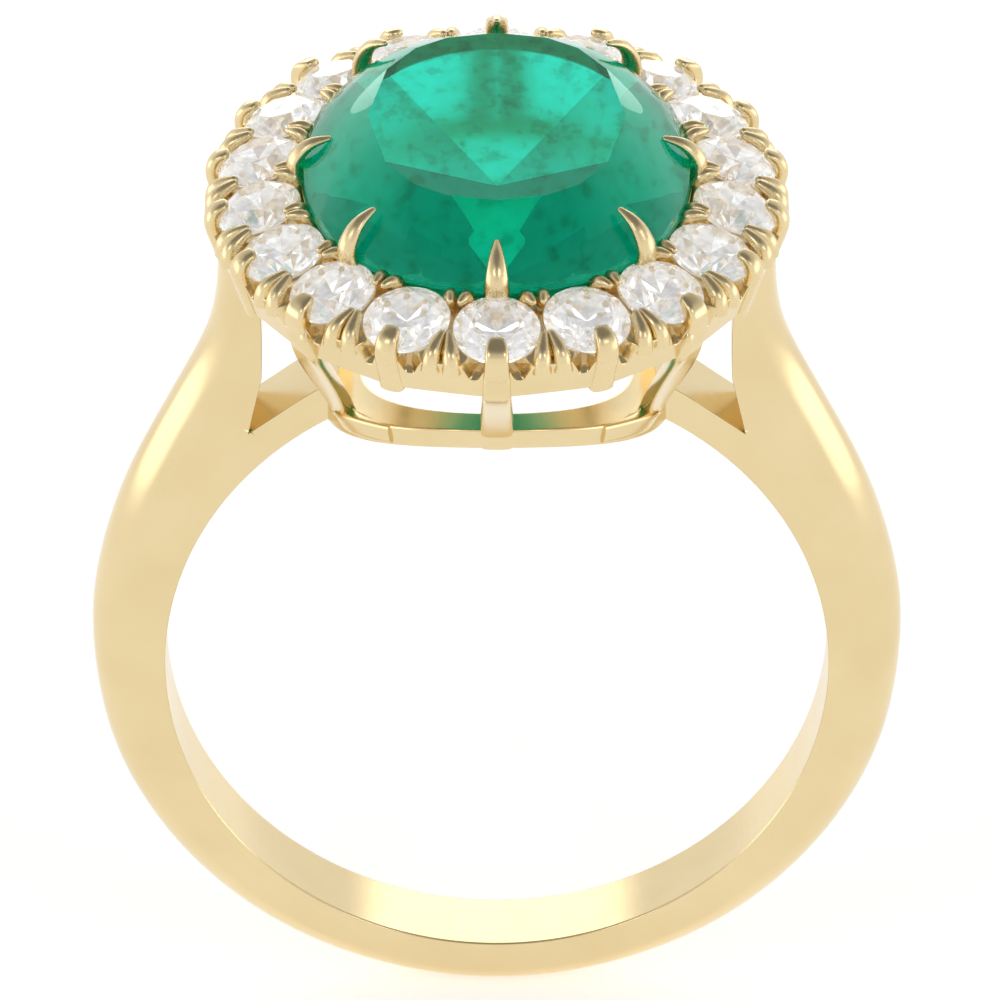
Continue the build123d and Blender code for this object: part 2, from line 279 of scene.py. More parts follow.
def gold(name, roughness, spread, bump_scale, bump_depth):
    """Polished yellow gold with faint polishing marks and slightly uneven colour."""
    material, nodes, links, shader = node_material(name)
    shader.inputs["Metallic"].default_value = 1.0
    tone = noise(nodes, links, 0.5)
    colour = ramp(
        nodes,
        links,
        tone.outputs["Fac"],
        [(0.3, (0.80, 0.64, 0.355)), (0.7, (0.84, 0.68, 0.395))],
    )
    links.new(colour, shader.inputs["Base Color"])
    marks = noise(nodes, links, bump_scale, 4.0, (1, 0.35, 1))
    rough = levels(nodes, links, marks.outputs["Fac"], roughness - spread, roughness + spread)
    links.new(rough, shader.inputs["Roughness"])
    bump = nodes.new("ShaderNodeBump")
    bump.inputs["Strength"].default_value = 0.2
    bump.inputs["Distance"].default_value = bump_depth * MM
    links.new(marks.outputs["Fac"], bump.inputs["Height"])
    links.new(bump.outputs["Normal"], shader.inputs["Normal"])
    return material


def emerald_material():
    """Deep bluish green, absorbing with depth; a garden of inclusions; a softer polish underneath."""
    material, nodes, links, shader = node_material("emerald_stone")
    shader.inputs["Transmission Weight"].default_value = 0.95
    shader.inputs["IOR"].default_value = 1.58
    shader.inputs["Specular Tint"].default_value = (0.25, 0.75, 0.62, 1)
    garden = noise(nodes, links, 2.0, 8.0, (1, 0.7, 1.4))
    tint = ramp(
        nodes,
        links,
        garden.outputs["Fac"],
        [(0.35, (0.01, 0.5, 0.34)), (0.45, (0.015, 0.86, 0.64)), (0.62, (0.02, 0.95, 0.78))],
    )
    links.new(tint, shader.inputs["Base Color"])
    place = nodes.new("ShaderNodeTexCoord")
    parts = nodes.new("ShaderNodeSeparateXYZ")
    links.new(place.outputs["Object"], parts.inputs["Vector"])
    below = nodes.new("ShaderNodeMath")
    below.operation = "LESS_THAN"
    below.inputs[1].default_value = GIRDLE_Z * MM
    links.new(parts.outputs["Z"], below.inputs[0])
    links.new(levels(nodes, links, below.outputs["Value"], 0.02, 0.42), shader.inputs["Roughness"])
    depth = nodes.new("ShaderNodeVolumeAbsorption")
    depth.inputs["Color"].default_value = (0.0, 0.93, 0.885, 1)
    depth.inputs["Density"].default_value = 0.7 / MM
    output = nodes["Material Output"]
    links.new(depth.outputs["Volume"], output.inputs["Volume"])
    return material


def diamond_material():
    """Clear and brilliant, with faint grey patches in its colour, and a faint white emission over the
    whole stone: a painted glow that lightens it.
    """
    material, nodes, links, shader = node_material("diamond_stone")
    shader.inputs["Transmission Weight"].default_value = 0.85
    shader.inputs["IOR"].default_value = 2.42
    shader.inputs["Roughness"].default_value = 0.0
    # Painted glow: a faint white emission lightens the whole stone, as if it gave off light of its own.
    shader.inputs["Emission Color"].default_value = (1, 1, 1, 1)
    shader.inputs["Emission Strength"].default_value = 0.1
    cloud = noise(nodes, links, 5.0, 4.0)
    tint = ramp(nodes, links, cloud.outputs["Fac"], [(0.42, (0.7, 0.7, 0.71)), (0.54, (1, 1, 1))])
    links.new(tint, shader.inputs["Base Color"])
    return material


GOLD_BAND = gold("gold_band_polish", 0.2, 0.05, 6.0, 0.004)
GOLD_HEAD = gold("gold_head_polish", 0.22, 0.05, 9.0, 0.006)
GOLD_CLAW = gold("gold_claw_polish", 0.26, 0.08, 14.0, 0.02)
EMERALD_STONE = emerald_material()
DIAMOND_STONE = diamond_material()


# ---------------------------------------------------------------- band


def band_keys():
    """Matching places on the crown line and the side face's outer edge, from bottom to window."""
    face_radius, face_z = 9.58, 0.32
    crown, face = [], []
    for degrees in range(-105, 1, 15):
        a = math.radians(degrees)
        crown.append((CROWN * math.cos(a), CROWN_Z + CROWN * math.sin(a)))
        face.append((face_radius * math.cos(a), face_z + face_radius * math.sin(a)))
    crown += [(10.19, 2.2), (9.88, 3.6), (9.4, 5.05), (8.76, 6.46)]
    face += [(9.51, 1.95), (9.17, 3.6), (8.68, 5.0), (8.08, 6.14)]
    return crown, face


# Places on the shoulder as (x, z): the sharp lower corner of its window, and the crown line and the
# face's outer edge just above that corner.
WINDOW_CORNER = (6.29, 6.87)
WINDOW_SPLIT_CROWN = (8.09, 7.79)
WINDOW_SPLIT_FACE = (7.46, 7.38)
# Sections of the upper arm: crown line, outer edge and inner edge
UPPER_ARM = [
    ((7.51, 8.97), (6.93, 8.95), (5.93, 8.5)),
    ((7.2, 9.85), (6.68, 9.95), (5.92, 9.6)),
    ((7.06, 10.75), (6.55, 10.8), (5.95, 10.7)),
    ((7.02, 11.7), (6.5, 11.7), (5.97, 11.7)),
    ((7.0, 12.6), (6.48, 12.6), (5.97, 12.6)),
]
LOWER_ARM_TOP = [(5.5, 7.47), (4.75, 8.03), (4.0, 8.5)]


def dome(crown, face, count=24):
    """Domed outer surface of one section, from the back face's edge over the crown to the front."""
    crown, face = np.array(crown), np.array(face)
    rise = np.linalg.norm(crown - face)
    radius = (HALF_WIDTH**2 + rise**2) / (2 * rise)
    reach = math.asin(min(1.0, HALF_WIDTH / radius))
    points = []
    for angle in np.linspace(-reach, reach, count + 1):
        height = (radius * math.cos(angle) - (radius - rise)) / rise
        x, z = face + (crown - face) * height
        points.append((x, radius * math.sin(angle), z))
    return points


def line_between(start, end, y, count):
    """Places on one face between two (x, z) points, the start left out."""
    start, end = np.array(start), np.array(end)
    places = [start + (end - start) * i / count for i in range(1, count + 1)]
    return [(x, y, z) for x, z in places]


def across(point, sign, count):
    """Places across the band's width at one (x, z) point, both ends left out."""
    x, z = point
    return [(x, sign * HALF_WIDTH * (1 - 2 * i / count), z) for i in range(1, count)]


# Mesh steps on each half of a side face, and across the band's width
SIDE_STEPS = 4
ACROSS_STEPS = 8


def full_ring(crown, face, split, bore):
    """Section of the closed hoop, its side faces divided at the split."""
    ring = dome(crown, face)
    ring += line_between(face, split, HALF_WIDTH, SIDE_STEPS)
    ring += line_between(split, bore, HALF_WIDTH, SIDE_STEPS)
    ring += across(bore, 1, ACROSS_STEPS)
    back = line_between(split, bore, -HALF_WIDTH, SIDE_STEPS)
    ring += back[::-1]
    ring += line_between(face, split, -HALF_WIDTH, SIDE_STEPS)[::-1]
    return ring


def upper_ring(crown, face, inner):
    """Section of an upper arm, above the window."""
    ring = dome(crown, face)
    ring += line_between(face, inner, HALF_WIDTH, SIDE_STEPS)
    ring += across(inner, 1, ACROSS_STEPS)
    ring += line_between(face, inner, -HALF_WIDTH, SIDE_STEPS)[::-1]
    return ring


def lower_ring(top, bore):
    """Section of a lower arm, between the window and the bore."""
    ring = [(top[0], -HALF_WIDTH, top[1])]
    ring += [(x, -y, z) for x, y, z in across(top, 1, ACROSS_STEPS)]
    ring += [(top[0], HALF_WIDTH, top[1])]
    ring += line_between(top, bore, HALF_WIDTH, SIDE_STEPS)
    ring += across(bore, 1, ACROSS_STEPS)
    ring += line_between(top, bore, -HALF_WIDTH, SIDE_STEPS)[::-1]
    return ring


def make_band():
    """Whole band: a closed hoop up to the window corners, then an upper and a lower arm each side."""
    crown_keys, face_keys = band_keys()
    corner_angle = math.degrees(math.atan2(WINDOW_CORNER[1], WINDOW_CORNER[0]))
    lower_keys = len(crown_keys)
    crown_all = crown_keys + [WINDOW_SPLIT_CROWN] + [crown for crown, _, _ in UPPER_ARM]
    face_all = face_keys + [WINDOW_SPLIT_FACE] + [face for _, face, _ in UPPER_ARM]
    fine = 16
    total = (len(crown_all) - 1) * fine + 1
    crown = curve_through(crown_all, total)[fine:]
    face = curve_through(face_all, total)[fine:]
    split_at = (lower_keys - 1) * fine
    rings = []
    for i in range(split_at + 1):
        share = i / split_at
        degrees = -90 + (corner_angle + 90) * share
        bore = (BORE * math.cos(math.radians(degrees)), BORE * math.sin(math.radians(degrees)))
        middle = np.array(face[i]) + (np.array(bore) - face[i]) * 0.5
        # The split on the side face closes on the window's corner only near the end.
        blend = share**6
        split = middle * (1 - blend) + np.array(WINDOW_CORNER) * blend
        rings.append(full_ring(crown[i], face[i], split, bore))
    # The upper arm's inner edge runs straight out of the window's corner, then curves.
    inner_keys = [inner for _, _, inner in UPPER_ARM]
    rise = np.array(inner_keys[0]) - WINDOW_CORNER
    straight = [np.array(WINDOW_CORNER) + rise * share for share in np.linspace(0, 1, fine + 1)]
    curved = curve_through(inner_keys, (len(inner_keys) - 1) * fine + 1)[1:]
    inner_up = straight + list(curved)
    upper = []
    for i, inner in enumerate(inner_up):
        upper.append(upper_ring(crown[split_at + i], face[split_at + i], inner))
    top_keys = [WINDOW_CORNER] + LOWER_ARM_TOP
    end_angle = math.acos(LOWER_ARM_TOP[-1][0] / BORE)
    lower = []
    steps = 24
    tops = curve_through(top_keys, steps + 1)
    for i in range(steps + 1):
        a = math.radians(corner_angle) + (end_angle - math.radians(corner_angle)) * i / steps
        lower.append(lower_ring(tops[i], (BORE * math.cos(a), BORE * math.sin(a))))
    mirrored = [[(-x, y, z) for x, y, z in ring] for ring in rings[1:]][::-1]
    body = skin(mirrored + rings, capped=False)
    parts = [body]
    for arm in (upper, lower):
        vertices, faces = skin(arm, capped=False)
        count = len(arm[0])
        end = (len(arm) - 1) * count
        faces.append(tuple(end + i for i in range(count)))
        parts.append((vertices, faces))
        parts.append((vertices * np.array([-1, 1, 1]), faces))
    vertices, faces = joined(parts)
    band = add_piece("band", vertices, faces, GOLD_BAND, ["shank"], "gold_band", 18, merge=1e-3)
    round_edges(band, 0.14, ROUNDED_FROM)
    weigh_band_edges(band)
    return band


ROUNDED_FROM = 17  # degrees between faces, at the least, for an edge to be rounded
OUTER_ROUNDING = 0.4  # of the rounding at the bore
CORNER_CLEARANCE = 0.15  # unrounded length beside a window's sharp corner


def weigh_band_edges(band):
    """Full rounding at the bore, less on the outer edges, fading out at a window's sharp corner."""
    mesh = band.data
    shape = bmesh.new()
    shape.from_mesh(mesh)
    shape.edges.ensure_lookup_table()
    weights = []
    for edge in shape.edges:
        weight = 0.0
        sides = [abs(abs(v.co.y) / MM - HALF_WIDTH) < 0.01 for v in edge.verts]
        angle = edge.calc_face_angle(0.0)
        if all(sides) and angle > math.radians(ROUNDED_FROM):
            radii = [math.hypot(v.co.x, v.co.z) / MM for v in edge.verts]
            on_bore = all(abs(radius - BORE) < 0.01 for radius in radii)
            middle = (edge.verts[0].co + edge.verts[1].co) / 2 / MM
            away = math.dist((abs(middle.x), middle.z), WINDOW_CORNER)
            fade = min(1.0, max(0.0, away - CORNER_CLEARANCE))
            weight = 1.0 if on_bore else OUTER_ROUNDING * fade
        weights.append(weight)
    shape.free()
    layer = mesh.attributes.new("bevel_weight_edge", "FLOAT", "EDGE")
    layer.data.foreach_set("value", weights)
    band.modifiers[0].limit_method = "WEIGHT"


# ---------------------------------------------------------------- rail and posts


def rail_top(x, radius):
    """Height over the finger's axis of a round surface of that radius."""
    return math.sqrt(radius**2 - x**2)


def make_rail():
    """Oval ring whose underside lies on the finger and whose top is parallel to it."""
    rings = []
    count = 180
    for i in range(count):
        a = 2 * math.pi * i / count
        c, s = math.cos(a), math.sin(a)
        outer = (RAIL_OUTER_X * c, RAIL_OUTER_Y * s)
        inner = ((RAIL_OUTER_X - RAIL_WALL_X) * c, (RAIL_OUTER_Y - RAIL_WALL_Y) * s)
        corners = []
        for (x, y), radius in (
            (outer, BORE),
            (outer, RAIL_RADIUS),
            (inner, RAIL_RADIUS),
            (inner, BORE),
        ):
            corners.append(np.array((x, y, rail_top(x, radius))))
        ring = []
        for start, end in zip(corners, corners[1:] + corners[:1]):
            ring += [start + (end - start) * k / 3 for k in range(3)]
        rings.append(ring)
    vertices, faces = skin(rings + rings[:1], capped=False)
    rail = add_piece(
        "gallery_rail", vertices, faces, GOLD_HEAD, ["base_rail"], "gold_head", 40, merge=1e-3
    )
    round_edges(rail, 0.06, 40)
    return rail


# ---------------------------------------------------------------- places round the halo


def halo_point(angle):
    return np.array((HALO_X * math.cos(angle), HALO_Y * math.sin(angle)))


def equal_angles(count):
    """Angles at equal distances round the halo, the first at the front centre."""
    angles = -math.pi / 2 - np.linspace(0, 2 * math.pi, 7201)
    points = np.array([halo_point(a) for a in angles])
    steps = np.linalg.norm(np.diff(points, axis=0), axis=1)
    travelled = np.concatenate([[0], np.cumsum(steps)])
    wanted = travelled[-1] * np.arange(count) / count
    return np.interp(wanted, travelled, angles)


def seat(angle):
    """Origin, outward slope, sideways and table directions of the halo's sloping plane."""
    x, y = halo_point(angle)
    out = unit((math.cos(angle) / HALO_X, math.sin(angle) / HALO_Y))
    slope = np.array((out[0] * math.cos(TILT), out[1] * math.cos(TILT), -math.sin(TILT)))
    table = np.array((out[0] * math.sin(TILT), out[1] * math.sin(TILT), math.cos(TILT)))
    return np.array((x, y, HALO_Z)), slope, np.cross(table, slope), table


def on_seat(angle, reach, sideways, height):
    origin, slope, side, table = seat(angle)
    return origin + slope * reach + side * sideways + table * height


# Each stone's share of the wall is a cell of CELL steps round the halo.
CELL = 24
CELL_ANGLES = equal_angles(STONES * CELL)
STONE_ANGLES = equal_angles(STONES)
NOTCH_ANGLES = equal_angles(2 * STONES)[1::2]

# Reaches are from the stones' centre line down the halo's slope; heights are from the girdle plane.
WALL_REACH_CLAW = 1.32
WALL_REACH_NOTCH = 1.24
WALL_BOTTOM = -1.05
INNER_REACH = -1.12
INNER_TOP = -0.1
HOLE = 0.5
CUT_DEPTH = 0.5
CUT_MIDDLE = 0.42
CUT_SPREAD = 0.17


def wall_reach(share):
    """Outer wall's reach: flat panels between claws. share is 0 at a claw and 1 in a notch."""
    return WALL_REACH_CLAW - (WALL_REACH_CLAW - WALL_REACH_NOTCH) * (1 - (1 - share) ** 2)


def cut_depth(share):
    """How deep the wall's top edge dips between claw and notch."""
    return CUT_DEPTH * math.exp(-(((share - CUT_MIDDLE) / CUT_SPREAD) ** 4))


def cell_boundary(k, top):
    """Closed loop of places round one stone's cell of the wall, on its top or underside."""
    first = k * CELL - CELL // 2
    angles = [CELL_ANGLES[(first + i) % (STONES * CELL)] for i in range(CELL + 1)]
    shares = [abs(i - CELL // 2) / (CELL // 2) for i in range(CELL + 1)]
    loop = []
    for i in range(CELL + 1):
        height = -cut_depth(shares[i]) if top else WALL_BOTTOM
        loop.append(on_seat(angles[i], wall_reach(shares[i]), 0, height))
    side_steps = 8
    inner_height = INNER_TOP if top else WALL_BOTTOM
    outer_height = 0.0 if top else WALL_BOTTOM
    for i in range(1, side_steps):
        s = i / side_steps
        reach = WALL_REACH_NOTCH + (INNER_REACH - WALL_REACH_NOTCH) * s
        loop.append(on_seat(angles[-1], reach, 0, outer_height + (inner_height - outer_height) * s))
    for i in range(CELL, -1, -1):
        loop.append(on_seat(angles[i], INNER_REACH, 0, inner_height))
    for i in range(side_steps - 1, 0, -1):
        s = i / side_steps
        reach = WALL_REACH_NOTCH + (INNER_REACH - WALL_REACH_NOTCH) * s
        loop.append(on_seat(angles[0], reach, 0, outer_height + (inner_height - outer_height) * s))
    return loop


def cell_mesh(k):
    """One stone's cell: seat, drilled hole, top rim and underside."""
    origin, slope, side, table = seat(STONE_ANGLES[k])
    top = cell_boundary(k, True)
    bottom = cell_boundary(k, False)
    directions = []
    for place in top:
        offset = place - origin
        directions.append(math.atan2(offset @ side, offset @ slope))

    def circle(radius, height, dip=0.0):
        ring = []
        for direction, edge in zip(directions, top):
            drop = dip * max(0.0, -((edge - origin) @ table) - 0.12)
            ring.append(
                origin
                + slope * radius * math.cos(direction)
                + side * radius * math.sin(direction)
                + table * (height - drop)
            )
        return ring

    lean = DIAMOND_DEPTH / DIAMOND
    rings = [top]
    rings.append(circle(DIAMOND + 0.02, -0.03, 1.0))
    rings.append(circle(DIAMOND - 0.12, -0.05 - 0.12 * lean, 0.8))
    rings.append(circle(HOLE + 0.12, -0.05 - (DIAMOND - HOLE - 0.12) * lean))
    rings.append(circle(HOLE, -0.12 - (DIAMOND - HOLE) * lean))
    rings.append(circle(HOLE, WALL_BOTTOM))
    rings.append(bottom)
    return skin(rings, capped=False)


def make_setting():
    """All the cells as one piece, with an outer and an inner wall round them."""
    parts = [cell_mesh(k) for k in range(STONES)]
    count = STONES * CELL
    outer_top, outer_bottom, inner_top, inner_bottom = [], [], [], []
    for i in range(count + 1):
        angle = CELL_ANGLES[i % count]
        share = abs((i + CELL // 2) % CELL - CELL // 2) / (CELL // 2)
        outer_top.append(on_seat(angle, wall_reach(share), 0, -cut_depth(share)))
        outer_bottom.append(on_seat(angle, wall_reach(share), 0, WALL_BOTTOM))
        inner_top.append(on_seat(angle, INNER_REACH, 0, INNER_TOP))
        inner_bottom.append(on_seat(angle, INNER_REACH, 0, WALL_BOTTOM))
    for top, bottom in ((outer_top, outer_bottom), (inner_top, inner_bottom)):
        parts.append(skin([top, bottom], around=False, capped=False))
    vertices, faces = joined(parts)
    setting = add_piece(
        "halo_setting", vertices, faces, GOLD_HEAD, ["halo_plate"], "gold_head", 35, merge=1e-3
    )
    round_edges(setting, 0.03, 50, 2)
    return setting


# ---------------------------------------------------------------- claws

# Halo stones whose claw runs down to the rail as a post: its name, and its foot's turn on the rail
POSTS = {
    0: ("front", -90),
    2: ("front_left", -157),
    7: ("back_left", 157),
    9: ("back", 90),
    11: ("back_right", 23),
    16: ("front_right", -23),
}
CLAW_REACH = 1.22


def claw_tip_line(k, start_height):
    """Line of a halo claw from its foot on the wall to its tip over the stone's edge."""
    angle = STONE_ANGLES[k]
    heights = [start_height, -0.35, 0.08, 0.34, 0.43]
    reaches = [CLAW_REACH, CLAW_REACH, CLAW_REACH - 0.02, CLAW_REACH - 0.2, CLAW_REACH - 0.46]
    return [on_seat(angle, r, 0, h) for r, h in zip(reaches, heights)]


def make_halo_claw(k):
    """Short flat-faced claw on the wall, bent over its stone's edge."""
    angle = STONE_ANGLES[k]
    side = seat(angle)[2]
    shape = tapered_rod(
        claw_tip_line(k, WALL_BOTTOM - 0.1),
        [0.32, 0.31, 0.3, 0.28, 0.22],
        [0.18, 0.2, 0.2, 0.18, 0.12],
        side,
        2.6,
    )
    name = f"halo_claw_{k + 1:02d}"
    return add_piece("claw_" + name[-2:], *shape, GOLD_CLAW, [name], "gold_claws", 50)


def rail_wall(azimuth, height):
    """Place on the rail's outer wall, `height` up its thickness."""
    a = math.radians(azimuth)
    x, y = (RAIL_OUTER_X - 0.14) * math.cos(a), (RAIL_OUTER_Y - 0.14) * math.sin(a)
    return np.array((x, y, rail_top(x, BORE + height)))


def make_post(k):
    """Gallery post: a flat-faced bar from the rail up to the wall, ending as its stone's claw."""
    name, foot_azimuth = POSTS[k]
    top = on_seat(STONE_ANGLES[k], CLAW_REACH, 0, -1.0)
    towards = math.copysign(1, top[1])
    if top[0] ** 2 < 1:
        # A middle post stands square on the rail.
        foot = [rail_wall(foot_azimuth, 0.05), rail_wall(foot_azimuth, 0.5)]
        sides = [(-towards, 0, 0)] * 8
        widths = [0.41, 0.41, 0.4]
    else:
        # A corner post turns along the rail at its foot and runs out in it.
        hand = math.copysign(1, top[0])
        turn = -hand * towards
        foot = [
            rail_wall(foot_azimuth - 30 * turn, 0.27),
            rail_wall(foot_azimuth - 8 * turn, 0.3),
            rail_wall(foot_azimuth, 0.62) + (0, 0.12 * towards, 0),
        ]
        level = (-towards, 0.3 * hand, 0)
        upright = (0, 0, hand)
        between = (-0.75 * towards, 0.2 * hand, 0.65 * hand)
        sides = [upright, np.array(upright) * 0.8 + np.array(level) * 0.3, between]
        sides += [level] * 6
        widths = [0.25, 0.28, 0.31, 0.33]
    bar = foot + [foot[-1] + (top - foot[-1]) * 0.5]
    line = bar + claw_tip_line(k, -1.0)
    widths += [0.36, 0.34, 0.31, 0.29, 0.22]
    depths = [0.22] * len(bar) + [0.24, 0.23, 0.22, 0.19, 0.12]
    tangent = seat(STONE_ANGLES[k])[2]
    if np.dot(tangent, sides[-1]) < 0:
        sides = [tuple(-np.array(one)) for one in sides]
    mixed = np.array(sides[len(line) - 6]) + tangent
    sides = sides[: len(line) - 6] + [mixed] + [tangent] * 5
    shape = tapered_rod(line, widths, depths, sides, 4.0, around=32, steps=60)
    return add_piece(f"post_{name}", *shape, GOLD_HEAD, [f"gallery_post_{name}"], "gold_head", 50)


def make_beads(name, node, foot, middle, tip, widths):
    """A pair of small claws in every notch, each along three (reach, sideways, height) places."""
    parts = []
    for notch in NOTCH_ANGLES:
        side = seat(notch)[2]
        for hand in (-1, 1):
            line = [on_seat(notch, r, hand * s, h) for r, s, h in (foot, middle, tip)]
            parts.append(tapered_rod(line, widths, widths, side, 2.0, 14, 10))
    vertices, faces = joined(parts)
    return add_piece(name, vertices, faces, GOLD_CLAW, [node], "gold_claws", 60)


# ---------------------------------------------------------------- stones


def grind(shape, place, normal):
    """Cut one flat facet and close it."""
    geometry = shape.verts[:] + shape.edges[:] + shape.faces[:]
    cut = bmesh.ops.bisect_plane(
        shape, geom=geometry, dist=1e-6, plane_co=place, plane_no=normal, clear_outer=True
    )
    rim = [part for part in cut["geom_cut"] if isinstance(part, bmesh.types.BMEdge)]
    rim = [edge for edge in rim if len(edge.link_faces) == 1]
    if rim:
        bmesh.ops.contextual_create(shape, geom=rim)


def facet(shape, azimuth, reach, level, lean, up=True):
    """Facet through the place `reach` out at `level`, leaning `lean` degrees from level."""
    a, tip = math.radians(azimuth), math.radians(lean)
    across_x, across_y = math.cos(a), math.sin(a)
    normal = (math.sin(tip) * across_x, math.sin(tip) * across_y, math.cos(tip) * (1 if up else -1))
    grind(shape, (reach * across_x, reach * across_y, level), normal)


def prism(outline, low, high):
    vertices, faces = skin([[(x, y, z) for x, y in outline] for z in (low, high)])
    shape = bmesh.new()
    points = [shape.verts.new(v) for v in vertices]
    for face in faces:
        shape.faces.new([points[i] for i in face])
    bmesh.ops.recalc_face_normals(shape, faces=shape.faces)
    return shape


def shape_lists(shape):
    shape.verts.index_update()
    vertices = np.array([v.co[:] for v in shape.verts])
    faces = [[v.index for v in f.verts] for f in shape.faces]
    shape.free()
    return vertices, faces


def brilliant():
    """Round brilliant of 57 facets on its girdle plane."""
    turns = [2 * math.pi * i / 64 for i in range(64)]
    outline = [(DIAMOND * math.cos(turn), DIAMOND * math.sin(turn)) for turn in turns]
    half = DIAMOND_GIRDLE / 2
    top = half + DIAMOND_CROWN
    shape = prism(outline, -DIAMOND_DEPTH - half, top)
    bezel = math.degrees(math.atan(DIAMOND_CROWN / (DIAMOND - DIAMOND_TABLE)))
    main = math.degrees(math.atan(DIAMOND_DEPTH / DIAMOND))
    for i in range(8):
        facet(shape, 45 * i, DIAMOND, half, bezel)
        facet(shape, 45 * i, DIAMOND, -half, main, up=False)
    for i in range(8):
        facet(shape, 45 * i + 22.5, DIAMOND_TABLE * 0.935, top, bezel - 12)
    for i in range(16):
        facet(shape, 22.5 * i + 11.25, DIAMOND, half, bezel + 7)
        facet(shape, 22.5 * i + 11.25, DIAMOND, -half, main + 1.4, up=False)
    return shape_lists(shape)


def emerald_reach(azimuth):
    """Distance from the centre to the girdle's tangent line that faces `azimuth` degrees."""
    power = EMERALD_POWER / (EMERALD_POWER - 1)
    a = math.radians(azimuth)
    x = (EMERALD_X * abs(math.cos(a))) ** power
    y = (EMERALD_Y * abs(math.sin(a))) ** power
    return (x + y) ** (1 / power)


def cushion_point(angle):
    c, s = math.cos(angle), math.sin(angle)
    power = 2 / EMERALD_POWER
    return (
        math.copysign(abs(c) ** power, c) * EMERALD_X,
        math.copysign(abs(s) ** power, s) * EMERALD_Y,
    )


# Tiers of crown facets: inset from the girdle, height over it, and lean in degrees
EMERALD_TIERS = [(0.0, 0.0, 52.0), (0.42, 0.538, 42.0), (0.95, 1.015, 28.0)]
EMERALD_TABLE_Z = EMERALD_HIGH[2] - GIRDLE_Z - GIRDLE / 2


def make_emerald():
    """Oval cushion: three tiers of crown facets, a table, and a pavilion of long mains.

    The crown is shaded smooth, as its facets are worn soft; the pavilion's facets are crisp.
    """
    outline = [cushion_point(2 * math.pi * i / 128) for i in range(128)]
    top = GIRDLE_Z + GIRDLE / 2
    bottom = GIRDLE_Z - GIRDLE / 2
    shape = prism(outline, bottom - EMERALD_DEPTH, top + EMERALD_TABLE_Z)
    for tier, (inset, height, lean) in enumerate(EMERALD_TIERS):
        shift = 11.25 if tier % 2 == 0 else 0.0
        for i in range(16):
            azimuth = 22.5 * i + shift
            facet(shape, azimuth, emerald_reach(azimuth) - inset, top + height, lean)
    for i in range(16):
        azimuth = 22.5 * i + 11.25
        reach = emerald_reach(azimuth)
        lean = math.degrees(math.atan(EMERALD_DEPTH / reach))
        facet(shape, azimuth, reach, bottom, lean + 7, up=False)
    for i in range(8):
        azimuth = 45 * i + 22.5
        reach = emerald_reach(azimuth)
        lean = math.degrees(math.atan(EMERALD_DEPTH / reach))
        facet(shape, azimuth, reach, bottom, lean, up=False)
    vertices, faces = shape_lists(shape)
    stone = add_piece(
        "emerald_stone", vertices, faces, EMERALD_STONE, ["emerald"], "emerald", smooth_angle=24
    )
    for face in stone.data.polygons:
        face.use_smooth = face.center.z > (GIRDLE_Z + 0.6 * GIRDLE) * MM
    return stone


def make_diamonds():
    vertices, faces = brilliant()
    for k, angle in enumerate(STONE_ANGLES):
        origin, slope, side, table = seat(angle)
        placed = origin + vertices @ np.array((slope, side, table))
        name = f"halo_diamond_{k + 1:02d}"
        add_piece(f"brilliant_{k + 1:02d}", placed, faces, DIAMOND_STONE, [name], "diamond")


# ---------------------------------------------------------------- emerald's collar and claws

# Claws of the emerald: turn from +X in degrees, and height of the tip over the girdle
EMERALD_CLAWS = {
    "right": (0, 0.9),
    "back_right": (50, 1.25),
    "back": (90, 1.3),
    "back_left": (130, 1.25),
    "left": (180, 0.9),
    "front_left": (225, 1.12),
    "front": (270, 0.98),
    "front_right": (315, 1.12),
}


def make_collar():
    """Seat ring between the wall and the emerald's pavilion."""
    rings = []
    count = 160
    for i in range(count + 1):
        a = 2 * math.pi * (i % count) / count
        outer_top = on_seat(a, INNER_REACH - 0.02, 0, -0.15)
        outer_low = on_seat(a, INNER_REACH - 0.02, 0, -0.95)
        out = np.array((*unit((math.cos(a) / HALO_X, math.sin(a) / HALO_Y)), 0))
        inner_low = outer_low - out * 0.75
        inner_top = outer_top - out * 0.42
        inner_top[2] -= 0.12
        rings.append([outer_top, outer_low, inner_low, inner_top])
    vertices, faces = skin(rings, capped=False)
    collar = add_piece(
        "emerald_seat", vertices, faces, GOLD_HEAD, ["emerald_collar"], "gold_head", 40, merge=1e-3
    )
    round_edges(collar, 0.05, 30)
    return collar


def make_emerald_claw(name):
    """Pointed claw that rises beside the girdle and curves in over the crown."""
    turn, tip = EMERALD_CLAWS[name]
    x, y = cushion_point(math.radians(turn))
    power = EMERALD_POWER - 1
    out = unit(
        (
            math.copysign(abs(x / EMERALD_X) ** power, x) / EMERALD_X,
            math.copysign(abs(y / EMERALD_Y) ** power, y) / EMERALD_Y,
            0,
        )
    )
    side = np.cross((0, 0, 1), out)
    base = np.array((x, y, GIRDLE_Z))
    # Reach outside the girdle, with a height that is a share of the tip's where it is above 0
    bend = [(-0.35, -0.9), (0.0, -0.42), (0.2, 0.05), (0.14, 0.46), (-0.18, 0.82), (-0.64, 1.0)]
    line = []
    for reach, share in bend:
        height = share * tip if share > 0 else share
        line.append(base + out * reach + np.array((0, 0, height)))
    shape = tapered_rod(
        line,
        [0.31, 0.33, 0.32, 0.28, 0.2, 0.09],
        [0.2, 0.22, 0.23, 0.2, 0.15, 0.07],
        side,
        1.7,
        around=28,
        steps=36,
    )
    return add_piece(f"talon_{name}", *shape, GOLD_CLAW, [f"emerald_claw_{name}"], "gold_claws", 60)


# ---------------------------------------------------------------- stage


